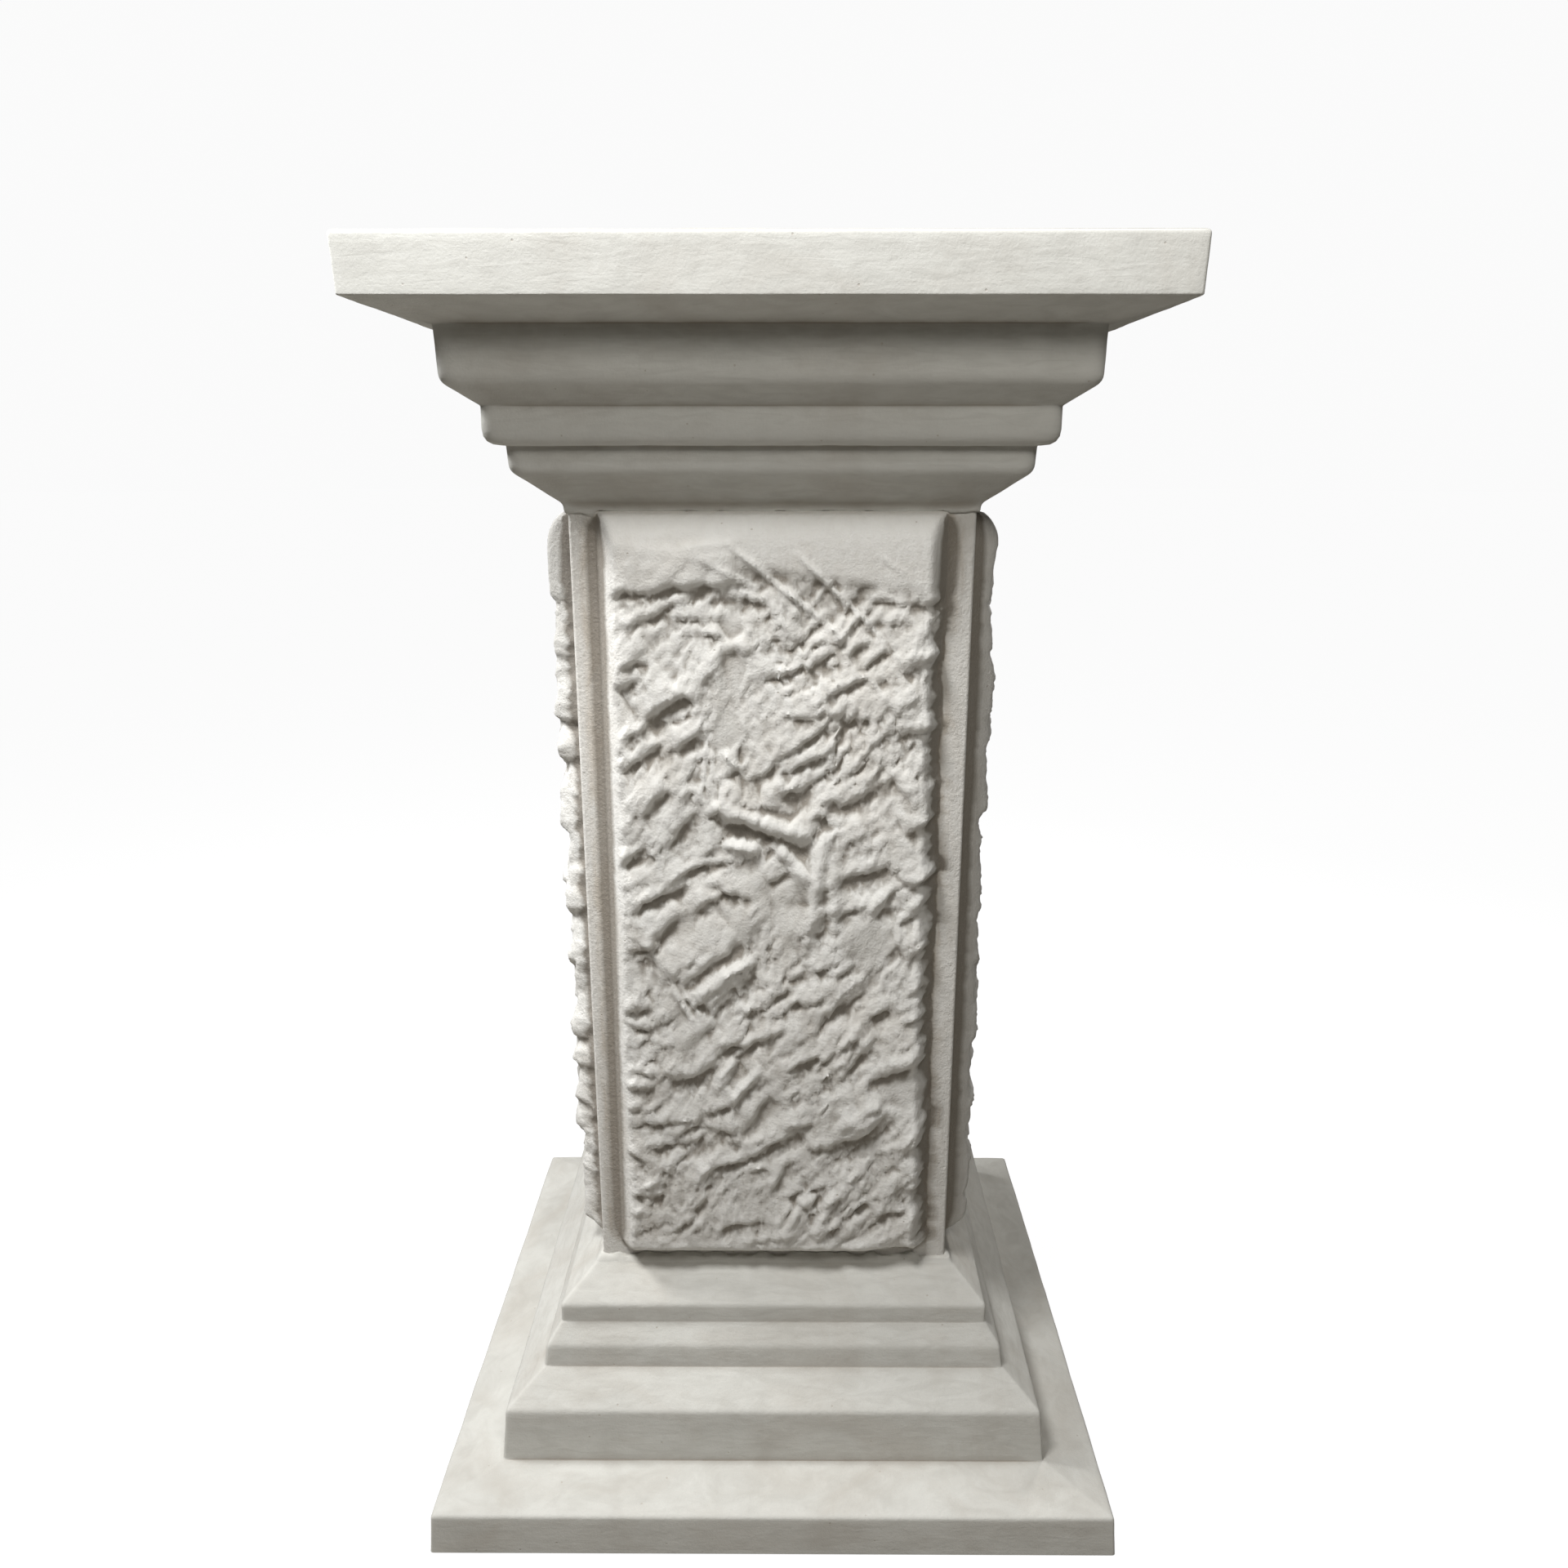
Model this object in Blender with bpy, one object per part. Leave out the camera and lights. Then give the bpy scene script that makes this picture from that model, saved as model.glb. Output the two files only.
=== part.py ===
"""Square cast-stone pedestal column: a stepped base, a shaft with rock-faced bosses and a moulded capital.

Units are metres and +Z is up. The origin is in the middle of the underside, and the front faces -Y.
Run it with: blender --background --python part.py
"""
import math

import bmesh
import bpy
from mathutils import Matrix, Vector, noise

# The three castings are cemented together, and a hairline is left between them.
JOINT_GAP = 0.0003

# Base, from the ground up. Each member has a face, which leans in by its draft, and a sloping top.
PLINTH_WIDTH = 0.453
PLINTH_FACE = 0.0275
PLINTH_DRAFT = 0.0015
PLINTH_SLOPE = 0.0091
LOWER_STEP_WIDTH = 0.370
LOWER_STEP_FACE = 0.0362
LOWER_STEP_DRAFT = 0.0028
LOWER_STEP_SLOPE = 0.0180
MIDDLE_STEP_WIDTH = 0.318
MIDDLE_STEP_FACE = 0.0145
MIDDLE_STEP_DRAFT = 0.0018
MIDDLE_STEP_SLOPE = 0.0131
UPPER_STEP_WIDTH = 0.2955
UPPER_STEP_FACE = 0.0126
UPPER_STEP_SLOPE = 0.0220
SEAT_MARGIN = 0.0015
STEP_ARRIS = 0.0025
BASE_CORNER = 0.0020

# Shaft, which is a little wider at its top than at its foot.
SHAFT_HEIGHT = 0.518
SHAFT_FOOT_WIDTH = 0.2424
SHAFT_TOP_WIDTH = 0.2496
SHAFT_CORNER = 0.0020

# Rock-faced boss, one on each side of the shaft. Its head swells out in a quarter of an ellipse.
BOSS_WIDTH = 0.2170
BOSS_PROJECTION = 0.0205
BOSS_SIDE_SLOPE = 0.0125
BOSS_SHOULDER = 0.0040
BOSS_HEAD_SWELL = 0.0300
BOSS_FOOT_MARGIN = 0.0040
BOSS_FOOT_CORNER = 0.0130
BOSS_ROWS = 49
BOSS_COLUMNS = 16

# Split stone on a boss. Its head stays smooth, further down on the right than on the left.
SMOOTH_HEAD_LEFT = 0.0160
SMOOTH_HEAD_RIGHT = 0.0460
SMOOTH_FADE = 0.0100
SPLIT_DEPTH = 0.0030
SPLIT_LIMIT = 0.0090
LEDGE_REACH = 0.0190
HOLLOW_REACH = 0.0100
DROP_STEEPNESS = 0.40
WAVE_SIZE = 0.0550
WAVE_DEPTH = 0.0022

# Main breaks of the front boss, where the stone drops away below a line: across and up of the line's left
# end and of its right end, its drop, and how far its middle bows up. They are drawn in millimetres on a boss
# of the size below, and are stretched to fit the one that is made.
DRAWN_WIDTH = 217
DRAWN_HEIGHT = 518
DRAWN_PROJECTION = 20.5
MAIN_BREAKS = (
    (-100, 468, -16, 474, 6.5, 2), (-93, 446, -47, 467, 6, 0), (-80, 388, -53, 407, 10, 1),
    (-98, 408, -80, 417, 8, -1), (-62, 371, -36, 382, 8, 0), (-96, 355, -71, 377, 8, 0),
    (-83, 326, -61, 346, 9, 3), (-90, 268, -52, 284, 9, -1), (-81, 237, -54, 264, 10, 4),
    (-63, 211, -20, 245, 15, 0), (-46, 195, -13, 222, 11, -1), (-71, 144, -36, 156, 10, -2),
    (-35, 168, 10, 183, 7.5, -3), (-23, 103, -3, 134, 9, 0), (-23, 89, 21, 107, 9, -2),
    (22, 94, 78, 122, 12, -9), (27, 186, 63, 213, 8, 0), (42, 143, 67, 179, 9, -2),
    (61, 142, 104, 155, 11, 2), (30, 336, 80, 357, 11, -5), (1, 349, 25, 350, 9, -5),
    (80, 421, 104, 432, 11, 0), (79, 380, 104, 384, 9, 0), (84, 317, 104, 327, 9, 0),
    (88, 279, 104, 292, 9, 0), (-36, 326, 26, 306, 11, 2), (86, 230, 104, 238, 8, 0),
    (-98, 191, -79, 197, 7.5, 0), (-97, 55, -74, 57, 7.5, 2),
)
# The other bosses carry the same breaks, moved further up on each, and varied a little.
SPLIT_FOOT = 20
SPLIT_SPAN = 446
SIDE_SHIFT = 121
SIDE_WANDER = 12

# Capital, from the neck up.
NECK_WIDTH = 0.2540
NECK_FACE = 0.0035
BELL_RISE = 0.0195
LISTEL_WIDTH = 0.3110
LISTEL_FACE = 0.0145
LISTEL_DRAFT = 0.0010
ROLL_WIDTH = 0.3335
ROLL_FACE = 0.0220
ROLL_ROUND = 0.0110
ROLL_RETURN = 0.0100
SPLAY_RISE = 0.0125
FASCIA_WIDTH = 0.3720
FASCIA_FACE = 0.0300
FASCIA_DRAFT = 0.0012
SOFFIT_RISE = 0.0100
SLAB_WIDTH = 0.4500
SLAB_FACE = 0.0318
SLAB_DRAFT = 0.0013
SLAB_ARRIS = 0.0030
MEMBER_ARRIS = 0.0040
SHARP_ARRIS = 0.0008
MEMBER_CORNER = 0.0080
SLAB_CORNER = 0.0020

BASE_HEIGHT = (PLINTH_FACE + PLINTH_SLOPE + LOWER_STEP_FACE + LOWER_STEP_SLOPE + MIDDLE_STEP_FACE
               + MIDDLE_STEP_SLOPE + UPPER_STEP_FACE + UPPER_STEP_SLOPE)
SHAFT_FOOT_Z = BASE_HEIGHT + JOINT_GAP
SHAFT_TOP_Z = SHAFT_FOOT_Z + SHAFT_HEIGHT
CAPITAL_Z = SHAFT_TOP_Z + JOINT_GAP

# Fineness of the mesh.
SIDES = 4
ARRIS_STEPS = 2
CORNER_STEPS = 2
WELD = 0.00001

BASE_COLOUR = (0.52, 0.50, 0.46, 1)
SHAFT_COLOUR = (0.66, 0.65, 0.62, 1)
CAPITAL_COLOUR = (0.62, 0.60, 0.57, 1)
STONE_ROUGHNESS = 0.85


def clear_scene():
    """Start from nothing."""
    for thing in list(bpy.data.objects):
        bpy.data.objects.remove(thing)


def cast_stone(name, colour):
    """A dull, fine cast stone."""
    material = bpy.data.materials.new(name)
    material.use_nodes = True
    shader = material.node_tree.nodes["Principled BSDF"]
    shader.inputs["Base Color"].default_value = colour
    shader.inputs["Roughness"].default_value = STONE_ROUGHNESS
    shader.inputs["Metallic"].default_value = 0
    material.diffuse_color = colour
    return material


def wrapped_sheet(around, levels, place):
    """A closed solid from a sheet that is wrapped round Z. place(step, level) says where each point goes."""
    bm = bmesh.new()
    bmesh.ops.create_grid(bm, x_segments=around, y_segments=levels - 1, size=1)
    for index, vertex in enumerate(bm.verts):
        level, step = divmod(index, around + 1)
        vertex.co = place(step % around, level)
    bmesh.ops.remove_doubles(bm, verts=bm.verts, dist=WELD)
    bmesh.ops.holes_fill(bm, edges=bm.edges, sides=0)
    bmesh.ops.recalc_face_normals(bm, faces=bm.faces)
    return bm


def casting(name, bm, colour, collection):
    """Turn a closed shape into a named casting of its own stone."""
    mesh = bpy.data.meshes.new(name)
    bm.to_mesh(mesh)
    bm.free()
    mesh.materials.append(cast_stone(name + "_stone", colour))
    piece = bpy.data.objects.new(name, mesh)
    collection.objects.link(piece)
    return piece


def eased(outline):
    """The outline with its arrises eased. Each corner is (half width, height, easing, plan corner radius).

    Two easings that meet on a short edge share it.
    """
    points = [Vector((outline[0][0], outline[0][1], outline[0][3]))]
    for before, corner, after in zip(outline, outline[1:], outline[2:]):
        here = Vector((corner[0], corner[1], corner[3]))
        to_before = Vector((before[0], before[1], corner[3])) - here
        to_after = Vector((after[0], after[1], corner[3])) - here
        easing = corner[2]
        share_before = easing / (easing + before[2])
        share_after = easing / (easing + after[2])
        reach = min(easing, to_before.length * share_before, to_after.length * share_after)
        start = here + to_before.normalized() * reach
        end = here + to_after.normalized() * reach
        for step in range(ARRIS_STEPS + 1):
            k = step / ARRIS_STEPS
            points.append(start * (1 - k) ** 2 + here * 2 * k * (1 - k) + end * k ** 2)
    points.append(Vector((outline[-1][0], outline[-1][1], outline[-1][3])))
    return points


def square_moulding(outline):
    """A moulding that runs round a square, mitred at its rounded corners."""
    points = eased(outline)
    per_corner = CORNER_STEPS + 1

    def place(step, level):
        half, height, radius = points[level]
        corner, part_of_arc = divmod(step, per_corner)
        angle = math.pi / 2 * part_of_arc / CORNER_STEPS
        centre = half - radius
        spot = Vector((centre + radius * math.cos(angle), centre + radius * math.sin(angle), height))
        return Matrix.Rotation(corner * math.pi / 2, 3, "Z") @ spot

    return wrapped_sheet(SIDES * per_corner, len(points), place)


def base_outline():
    """Half widths and heights of the base from the ground up to the seat of the shaft."""
    members = (
        (PLINTH_WIDTH, PLINTH_FACE, PLINTH_DRAFT, PLINTH_SLOPE),
        (LOWER_STEP_WIDTH, LOWER_STEP_FACE, LOWER_STEP_DRAFT, LOWER_STEP_SLOPE),
        (MIDDLE_STEP_WIDTH, MIDDLE_STEP_FACE, MIDDLE_STEP_DRAFT, MIDDLE_STEP_SLOPE),
        (UPPER_STEP_WIDTH, UPPER_STEP_FACE, 0, UPPER_STEP_SLOPE),
    )
    outline = []
    height = 0
    for width, face, draft, slope in members:
        outline.append((width / 2, height, SHARP_ARRIS, BASE_CORNER))
        height += face
        outline.append((width / 2 - draft, height, STEP_ARRIS, BASE_CORNER))
        height += slope
    outline.append((SHAFT_FOOT_WIDTH / 2 + SEAT_MARGIN, height, 0, BASE_CORNER))
    return outline


def capital_outline():
    """Half widths and heights of the capital from the neck up to the top of the slab."""
    height = CAPITAL_Z
    outline = [(NECK_WIDTH / 2, height, 0, SHAFT_CORNER)]
    height += NECK_FACE
    outline.append((NECK_WIDTH / 2, height, MEMBER_ARRIS, SHAFT_CORNER))
    height += BELL_RISE
    outline.append((LISTEL_WIDTH / 2 - LISTEL_DRAFT, height, MEMBER_ARRIS, MEMBER_CORNER))
    height += LISTEL_FACE
    outline.append((LISTEL_WIDTH / 2, height, SHARP_ARRIS, MEMBER_CORNER))
    outline.append((ROLL_WIDTH / 2 - ROLL_RETURN, height, SHARP_ARRIS, MEMBER_CORNER))
    outline.append((ROLL_WIDTH / 2, height, ROLL_ROUND, MEMBER_CORNER))
    height += ROLL_FACE
    outline.append((ROLL_WIDTH / 2, height, SHARP_ARRIS, MEMBER_CORNER))
    height += SPLAY_RISE
    outline.append((FASCIA_WIDTH / 2 - FASCIA_DRAFT, height, MEMBER_ARRIS, MEMBER_CORNER))
    height += FASCIA_FACE
    outline.append((FASCIA_WIDTH / 2, height, SHARP_ARRIS, MEMBER_CORNER))
    height += SOFFIT_RISE
    outline.append((SLAB_WIDTH / 2 - SLAB_DRAFT, height, SHARP_ARRIS, SLAB_CORNER))
    height += SLAB_FACE
    outline.append((SLAB_WIDTH / 2, height, SLAB_ARRIS, SLAB_CORNER))
    outline.append((SLAB_WIDTH / 2 - 2 * SLAB_ARRIS, height, 0, SLAB_CORNER))
    return outline


def soft_min(a, b, blend):
    """The lower of two heights, rounded where they cross."""
    near = max(blend - abs(a - b), 0) / blend
    return min(a, b) - near * near * blend / 4


def ramp(value, start, end):
    """A smooth step from 0 at start to 1 at end."""
    k = min(max((value - start) / (end - start), 0), 1)
    return k * k * (3 - 2 * k)


def breaks_of(side):
    """The breaks of one boss: as drawn on the front, and moved and varied on the others."""
    if side == 0:
        return MAIN_BREAKS
    breaks = []
    for index, (left, left_up, right, right_up, drop, bow) in enumerate(MAIN_BREAKS):
        chance = noise.cell_vector(Vector((index, side, 0)))
        rise = right_up - left_up
        moved_up = left_up - SPLIT_FOOT + side * SIDE_SHIFT + chance.x * SIDE_WANDER
        left_up = moved_up % SPLIT_SPAN + SPLIT_FOOT
        aside = (chance.y - 0.5) * SIDE_WANDER
        drop *= 0.8 + 0.4 * chance.z
        breaks.append((left + aside, left_up, right + aside, left_up + rise, drop, bow))
    return breaks


def stretched(across, up):
    """A drawn place as it lies on the boss that is made."""
    return Vector((across * BOSS_WIDTH / DRAWN_WIDTH, up * SHAFT_HEIGHT / DRAWN_HEIGHT))


def break_height(across, up, split_break):
    """Height that one break adds at a place: proud above its line, hollow below it, gone at its ends."""
    left, left_up, right, right_up, drop, bow = split_break
    start = stretched(left, left_up)
    run = stretched(right, right_up) - start
    away = Vector((across, up)) - start
    along = 2 * away.dot(run) / run.length_squared - 1
    fade = max(1 - along * along, 0)
    above = run.normalized().cross(away) - stretched(bow, 0).x * fade
    drop *= BOSS_PROJECTION / DRAWN_PROJECTION
    reach = LEDGE_REACH if above > 0 else HOLLOW_REACH
    ledge = math.tanh(above / (drop * DROP_STEEPNESS)) * math.exp(-abs(above) / reach)
    return drop / 2 * ledge * math.sqrt(fade)


def split_stone(across, up, side):
    """Height of the split stone above its mean plane, at a place on a boss."""
    height = noise.noise(Vector((across, up, side)) / WAVE_SIZE) * WAVE_DEPTH
    for split_break in breaks_of(side):
        height += break_height(across, up, split_break)
    return SPLIT_LIMIT * math.tanh(height / SPLIT_LIMIT)


def boss_projection(across, up, side):
    """How far a boss stands out from its side of the shaft, at a place measured from the shaft's foot."""
    edge = BOSS_WIDTH / 2 - abs(across)
    foot = up - BOSS_FOOT_MARGIN
    corner = BOSS_FOOT_CORNER - min(edge, BOSS_FOOT_CORNER), BOSS_FOOT_CORNER - min(foot, BOSS_FOOT_CORNER)
    inside = BOSS_FOOT_CORNER - math.hypot(*corner)
    if inside < BOSS_FOOT_CORNER:
        edge = inside
    below_head = SHAFT_HEIGHT - up
    if edge <= 0 or below_head <= 0:
        return 0
    bevel = edge * BOSS_PROJECTION / BOSS_SIDE_SLOPE
    swell = 1 - min(below_head / BOSS_HEAD_SWELL, 1)
    head = BOSS_PROJECTION * math.sqrt(1 - swell * swell)
    smooth_head = SMOOTH_HEAD_LEFT + (SMOOTH_HEAD_RIGHT - SMOOTH_HEAD_LEFT) * (across / BOSS_WIDTH + 0.5)
    split = ramp(below_head, smooth_head, smooth_head + SMOOTH_FADE)
    smooth_face = soft_min(BOSS_PROJECTION, head, BOSS_SHOULDER)
    face = smooth_face - (SPLIT_DEPTH - split_stone(across, up, side)) * split
    return max(soft_min(face, bevel, BOSS_SHOULDER), 0)


def evenly(start, end, steps):
    """Places from start to end, both included."""
    return [start + (end - start) * step / steps for step in range(steps + 1)]


def shaft_solid():
    """The shaft with its four bosses."""
    plateau = BOSS_WIDTH / 2 - BOSS_SIDE_SLOPE
    columns = [-BOSS_WIDTH / 2] + evenly(-plateau, plateau, BOSS_COLUMNS) + [BOSS_WIDTH / 2]
    lowest = BOSS_FOOT_MARGIN + BOSS_SIDE_SLOPE
    highest = SHAFT_HEIGHT - BOSS_HEAD_SWELL / 2
    rows = [0, BOSS_FOOT_MARGIN] + evenly(lowest, highest, BOSS_ROWS)
    rows += [SHAFT_HEIGHT - BOSS_HEAD_SWELL / 8, SHAFT_HEIGHT]
    per_side = len(columns) + 2

    def place(step, level):
        side, column = divmod(step, per_side)
        up = rows[level]
        half = (SHAFT_FOOT_WIDTH + (SHAFT_TOP_WIDTH - SHAFT_FOOT_WIDTH) * up / SHAFT_HEIGHT) / 2
        corner = half - SHAFT_CORNER
        across = ([-corner] + columns + [corner])[column]
        out = half + boss_projection(across, up, side)
        return Matrix.Rotation(side * math.pi / 2, 3, "Z") @ Vector((across, -out, SHAFT_FOOT_Z + up))

    return wrapped_sheet(SIDES * per_side, len(rows), place)


def main():
    clear_scene()
    column = bpy.data.collections.new("pedestal_column")
    bpy.context.scene.collection.children.link(column)
    casting("base", square_moulding(base_outline()), BASE_COLOUR, column)
    casting("shaft", shaft_solid(), SHAFT_COLOUR, column)
    casting("capital", square_moulding(capital_outline()), CAPITAL_COLOUR, column)


main()
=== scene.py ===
"""Looks of the square cast-stone pedestal column: finely split bosses, eased mouldings and brushed stone.

Units are metres and +Z is up. The front of the column faces -Y.
"""

import math
import random

import bmesh
import bpy
import numpy as np
from mathutils import Matrix, Vector, noise


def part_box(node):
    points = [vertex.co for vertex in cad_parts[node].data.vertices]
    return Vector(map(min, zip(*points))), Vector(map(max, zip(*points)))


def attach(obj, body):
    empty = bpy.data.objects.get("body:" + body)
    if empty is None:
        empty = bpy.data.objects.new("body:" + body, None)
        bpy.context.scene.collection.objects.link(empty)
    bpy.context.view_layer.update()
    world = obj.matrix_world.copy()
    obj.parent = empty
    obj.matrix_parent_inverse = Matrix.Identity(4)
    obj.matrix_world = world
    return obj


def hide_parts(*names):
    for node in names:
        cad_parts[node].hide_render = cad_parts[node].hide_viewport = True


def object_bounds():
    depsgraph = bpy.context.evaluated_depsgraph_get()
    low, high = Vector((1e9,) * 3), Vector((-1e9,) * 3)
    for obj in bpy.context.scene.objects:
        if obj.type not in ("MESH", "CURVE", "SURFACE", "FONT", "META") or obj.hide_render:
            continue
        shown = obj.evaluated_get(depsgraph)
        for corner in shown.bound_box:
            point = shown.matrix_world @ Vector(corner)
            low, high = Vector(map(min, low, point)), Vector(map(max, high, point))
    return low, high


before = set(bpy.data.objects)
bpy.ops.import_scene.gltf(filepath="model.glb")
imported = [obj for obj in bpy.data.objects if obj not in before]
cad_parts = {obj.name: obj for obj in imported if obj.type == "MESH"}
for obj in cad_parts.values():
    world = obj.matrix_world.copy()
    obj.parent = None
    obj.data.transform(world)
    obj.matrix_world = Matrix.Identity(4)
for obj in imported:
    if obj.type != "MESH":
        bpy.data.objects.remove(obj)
CAD_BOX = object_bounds()

MM = 0.001

# Base, from the ground up: width of each member, height of its face, draft of the face and rise of its top.
BASE_MEMBERS = (
    (453 * MM, 27.5 * MM, 1.5 * MM, 9.1 * MM),
    (370 * MM, 36.2 * MM, 2.8 * MM, 18.0 * MM),
    (318 * MM, 14.5 * MM, 1.8 * MM, 13.1 * MM),
    (295.5 * MM, 12.6 * MM, 0.0, 22.0 * MM),
)
SEAT_MARGIN = 1.5 * MM
BEAD_WIDTH = 5.0 * MM
BEAD_HEIGHT = 3.4 * MM
BEAD_RAG = 9 * MM
BEAD_LEAST = 0.08
STEP_ARRIS = 2.5 * MM
BASE_CORNER = 2.0 * MM

# Shaft and its bosses.
SHAFT_FOOT_WIDTH = 242.4 * MM
SHAFT_TOP_WIDTH = 249.6 * MM
SHAFT_CORNER = 2.0 * MM
SHAFT_FOOT_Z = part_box("shaft")[0][2]
SHAFT_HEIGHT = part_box("shaft")[1][2] - SHAFT_FOOT_Z
SHAFT_SPREAD = (SHAFT_TOP_WIDTH - SHAFT_FOOT_WIDTH) / SHAFT_HEIGHT
MARGIN_TOLERANCE = 0.5 * MM
BOSS_WIDTH = 217 * MM
BOSS_PROJECTION = 20.5 * MM
BOSS_SIDE_SLOPE = 12.5 * MM
BOSS_SHOULDER = 4 * MM
BOSS_HEAD_SWELL = 30 * MM
BOSS_FOOT_MARGIN = 4 * MM
BOSS_FOOT_CORNER = 13 * MM

# Split stone on a boss. Its head stays smooth, further down on the right than on the left.
SMOOTH_HEAD_LEFT = 16 * MM
SMOOTH_HEAD_RIGHT = 46 * MM
SMOOTH_FADE = 10 * MM
SPLIT_DEPTH = 3.0 * MM
SPLIT_LIMIT = 10 * MM
LEDGE_REACH = 19 * MM
HOLLOW_REACH = 10 * MM
DROP_STEEPNESS = 0.36
LESSER_REACH = 9 * MM
LESSER_STEEPNESS = 0.30
WAVE_SIZE = 55 * MM
WAVE_DEPTH = 2.2 * MM
GRAIN_LEAN = math.radians(43)
BROAD_RIDGES = dict(length=48 * MM, width=23 * MM, depth=4.2 * MM, layer=31)
NARROW_RIDGES = dict(length=14 * MM, width=6.5 * MM, depth=0.5 * MM, layer=47)
SMALL_PLATES = dict(spacing=16 * MM, rise=1.8 * MM, level=1.3 * MM, edge=0.35, layer=101)
FINE_PLATES = dict(spacing=4.5 * MM, rise=0.9 * MM, level=0.7 * MM, edge=0.40, layer=211)
PLATE_STRETCH = 1.7
FACET_FILL = 0.45
FOLD_WOBBLE = 0.3
# The split runs out over the right edge of a boss, from one place across it to another, and bites into it.
RAGGED_FROM = 60 * MM
RAGGED_TO = 98 * MM
RAGGED_DEPTH = 2.0 * MM

# Capital, from the neck up.
NECK_WIDTH = 254 * MM
NECK_FACE = 3.5 * MM
NECK_BEAD_HEIGHT = 5.0 * MM
NECK_BEAD_INSET = 0.6 * MM
BELL_RISE = 19.5 * MM
LISTEL_WIDTH = 311 * MM
LISTEL_FACE = 14.5 * MM
LISTEL_DRAFT = 1.0 * MM
ROLL_WIDTH = 333.5 * MM
ROLL_FACE = 22 * MM
ROLL_ROUND = 11 * MM
ROLL_RETURN = 10 * MM
SPLAY_RISE = 12.5 * MM
FASCIA_WIDTH = 372 * MM
FASCIA_FACE = 30 * MM
FASCIA_DRAFT = 1.2 * MM
SOFFIT_RISE = 10 * MM
SLAB_WIDTH = 450 * MM
SLAB_FACE = 31.8 * MM
SLAB_DRAFT = 1.3 * MM
SLAB_ARRIS = 3 * MM
MEMBER_ARRIS = 4 * MM
SHARP_ARRIS = 0.8 * MM
MEMBER_CORNER = 8 * MM
SLAB_CORNER = 2 * MM
CAPITAL_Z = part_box("capital")[0][2]
TOP_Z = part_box("capital")[1][2]
# The skin at the top of the slab that is painted grey in soft patches, as painted shade that tones down the
# light falling on it, and that grey.
TOP_SKIN = 0.6 * MM
TOP_SHADE = "A8A59D"
# Heights from which the shaft is painted darker towards its foot, and below which it is darkest.
FOOT_DARKENING_TOP = 420 * MM
FOOT_DARKENING_FULL = 160 * MM

# How hollows are found, for the earth and painted shade that darken them: passes of smoothing, and the depth
# of a full hollow.
HOLLOW_PASSES = 14
HOLLOW_DEPTH = 1.5 * MM

# Fineness of the meshes.
SIDES = 4
ARRIS_STEPS = 4
CORNER_STEPS = 3
SIDE_STEPS = 96
LEVEL_STEP = 3.5 * MM
FRONT_COLUMNS = 140
OTHER_COLUMNS = 72
BEVEL_COLUMNS = 6
BOSS_ROWS = 226
WELD = 0.01 * MM

# Camera, as far from the column's middle and as high as the photograph's was.
IMAGE_PIXELS = 1920
FOCAL_PIXELS = 1578
SENSOR_MM = 36
CAMERA_PLACE = (11.3 * MM, -926.6 * MM, 702.9 * MM)
CAMERA_PITCH = math.radians(-14.25)
CAMERA_YAW = math.radians(0.29)


# Shapes

def wrapped_sheet(around, levels, place):
    """A closed solid from a sheet that is wrapped round Z. place(step, level) says where each point goes."""
    bm = bmesh.new()
    bmesh.ops.create_grid(bm, x_segments=around, y_segments=levels - 1, size=1)
    for index, vertex in enumerate(bm.verts):
        level, step = divmod(index, around + 1)
        vertex.co = place(step % around, level)
    bmesh.ops.remove_doubles(bm, verts=bm.verts, dist=WELD)
    bmesh.ops.holes_fill(bm, edges=bm.edges, sides=0)
    bmesh.ops.recalc_face_normals(bm, faces=bm.faces)
    return bm


def piece(name, bm, material, sharp):
    """Make a mesh piece that stands for a node, rides on the one body and takes that node's finish."""
    mesh = bpy.data.meshes.new(name)
    bm.to_mesh(mesh)
    bm.free()
    mesh.shade_smooth()
    mesh.set_sharp_from_angle(angle=math.radians(sharp))
    mark_hollows(mesh)
    mesh.materials.append(material)
    thing = bpy.data.objects.new(name, mesh)
    bpy.context.scene.collection.objects.link(thing)
    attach(thing, "root")
    return thing


def mark_hollows(mesh):
    """Store on each point how far it lies below the stone round it, for the earth and painted shade that
    darken hollows.
    """
    points = np.empty(len(mesh.vertices) * 3)
    mesh.vertices.foreach_get("co", points)
    points = points.reshape(-1, 3)
    normals = np.empty(len(mesh.vertices) * 3)
    mesh.vertices.foreach_get("normal", normals)
    ends = np.empty(len(mesh.edges) * 2, dtype=int)
    mesh.edges.foreach_get("vertices", ends)
    first, second = ends.reshape(-1, 2).T
    count = np.bincount(ends, minlength=len(points))[:, None]
    smoothed = points
    for _ in range(HOLLOW_PASSES):
        total = np.stack([
            np.bincount(first, smoothed[second, axis], len(points))
            + np.bincount(second, smoothed[first, axis], len(points)) for axis in range(3)], axis=1)
        smoothed = total / count
    depth = ((smoothed - points) * normals.reshape(-1, 3)).sum(axis=1)
    mesh.attributes.new("hollow", "FLOAT", "POINT").data.foreach_set("value", depth / HOLLOW_DEPTH)


def mark_margins(mesh):
    """Store on each point of the shaft whether it lies on the flat margins, which are painted darker with
    rain stains and with the shade of the recess beside the bosses.
    """
    points = np.empty(len(mesh.vertices) * 3)
    mesh.vertices.foreach_get("co", points)
    points = points.reshape(-1, 3)
    half = (SHAFT_FOOT_WIDTH + SHAFT_SPREAD * (points[:, 2] - SHAFT_FOOT_Z)) / 2
    proud_of_margin = np.abs(points[:, :2]).max(axis=1) - half
    margin = (proud_of_margin < MARGIN_TOLERANCE).astype(float)
    mesh.attributes.new("margin", "FLOAT", "POINT").data.foreach_set("value", margin)


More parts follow.
